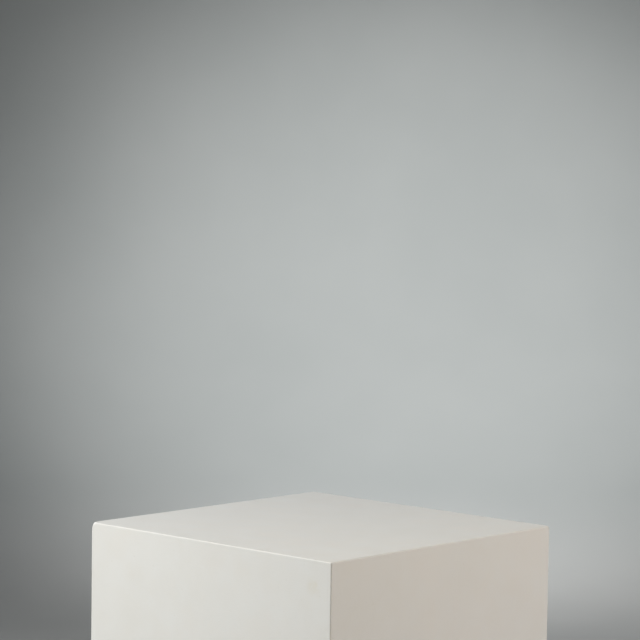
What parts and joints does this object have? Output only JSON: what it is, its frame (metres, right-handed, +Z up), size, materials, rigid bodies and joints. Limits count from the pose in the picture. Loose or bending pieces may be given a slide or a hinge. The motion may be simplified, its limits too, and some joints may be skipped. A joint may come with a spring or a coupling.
{
  "type": "display plinth",
  "caption": "Tall square box plinth with a flat painted top, mitred boards on a timber frame, an open underside and levelling feet that screw out.",
  "frame": {"origin": "on the floor, at the middle of the base", "axes": "+Z up, -Y out of the side called the front; the four sides are alike"},
  "size_m": [0.5, 0.5, 1],
  "materials": {
    "shell_board": "matt off-white paint outside, raw board inside",
    "softwood": "planed, bare",
    "birch_ply": "sanded, bare",
    "beech_biscuit": "pressed, bare",
    "zinc_steel": "bright zinc plate",
    "black_nylon": "moulded, fine grain",
    "rubber_sole": "matt"
  },
  "bodies": {
    "plinth": {"front_panel": "shell_board", "right_panel": "shell_board", "back_panel": "shell_board", "left_panel": "shell_board", "top_panel": "shell_board", "top_rail_front": "softwood", "base_rail_front": "softwood", "mid_cleat_front": "softwood", "top_rail_right": "softwood", "base_rail_right": "softwood", "mid_cleat_right": "softwood", "top_rail_back": "softwood", "base_rail_back": "softwood", "mid_cleat_back": "softwood", "top_rail_left": "softwood", "base_rail_left": "softwood", "mid_cleat_left": "softwood", "corner_post_fl": "softwood", "corner_post_fr": "softwood", "corner_post_br": "softwood", "corner_post_bl": "softwood", "top_bearer_left": "softwood", "top_bearer_right": "softwood", "mid_brace": "birch_ply", "corner_plate_fl": "birch_ply", "corner_plate_fr": "birch_ply", "corner_plate_br": "birch_ply", "corner_plate_bl": "birch_ply", "upright_biscuits": "beech_biscuit", "top_biscuits": "beech_biscuit", "post_screws": "zinc_steel", "top_frame_screws": "zinc_steel", "base_rail_screws": "zinc_steel", "plate_screws": "zinc_steel", "brace_screws": "zinc_steel", "tee_nut_fl": "zinc_steel", "tee_nut_fr": "zinc_steel", "tee_nut_br": "zinc_steel", "tee_nut_bl": "zinc_steel"},
    "foot_pad_fl": {"foot_pad_fl": "black_nylon", "foot_sole_fl": "rubber_sole"},
    "foot_screw_fl": {"foot_screw_fl": "zinc_steel"},
    "foot_pad_fr": {"foot_pad_fr": "black_nylon", "foot_sole_fr": "rubber_sole"},
    "foot_screw_fr": {"foot_screw_fr": "zinc_steel"},
    "foot_pad_br": {"foot_pad_br": "black_nylon", "foot_sole_br": "rubber_sole"},
    "foot_screw_br": {"foot_screw_br": "zinc_steel"},
    "foot_pad_bl": {"foot_pad_bl": "black_nylon", "foot_sole_bl": "rubber_sole"},
    "foot_screw_bl": {"foot_screw_bl": "zinc_steel"}
  },
  "joints": [
    {"name": "foot_fl_height", "type": "slide", "parent": "plinth", "child": "foot_pad_fl", "axis": [0, 0, -1], "range_m": [0, 0.012]},
    {"name": "foot_fl_screw", "type": "hinge", "parent": "foot_pad_fl", "child": "foot_screw_fl", "pos_m": [-0.205, -0.205, 0.014], "axis": [0, 0, -1], "range_deg": [0, 2880]},
    {"name": "foot_fr_height", "type": "slide", "parent": "plinth", "child": "foot_pad_fr", "axis": [0, 0, -1], "range_m": [0, 0.012]},
    {"name": "foot_fr_screw", "type": "hinge", "parent": "foot_pad_fr", "child": "foot_screw_fr", "pos_m": [0.205, -0.205, 0.014], "axis": [0, 0, -1], "range_deg": [0, 2880]},
    {"name": "foot_br_height", "type": "slide", "parent": "plinth", "child": "foot_pad_br", "axis": [0, 0, -1], "range_m": [0, 0.012]},
    {"name": "foot_br_screw", "type": "hinge", "parent": "foot_pad_br", "child": "foot_screw_br", "pos_m": [0.205, 0.205, 0.014], "axis": [0, 0, -1], "range_deg": [0, 2880]},
    {"name": "foot_bl_height", "type": "slide", "parent": "plinth", "child": "foot_pad_bl", "axis": [0, 0, -1], "range_m": [0, 0.012]},
    {"name": "foot_bl_screw", "type": "hinge", "parent": "foot_pad_bl", "child": "foot_screw_bl", "pos_m": [-0.205, 0.205, 0.014], "axis": [0, 0, -1], "range_deg": [0, 2880]}
  ],
  "couplings": [
    {"joint": "foot_fl_screw", "follows": "foot_fl_height", "rad_per_m": 4188.8},
    {"joint": "foot_fr_screw", "follows": "foot_fr_height", "rad_per_m": 4188.8},
    {"joint": "foot_br_screw", "follows": "foot_br_height", "rad_per_m": 4188.8},
    {"joint": "foot_bl_screw", "follows": "foot_bl_height", "rad_per_m": 4188.8}
  ]
}
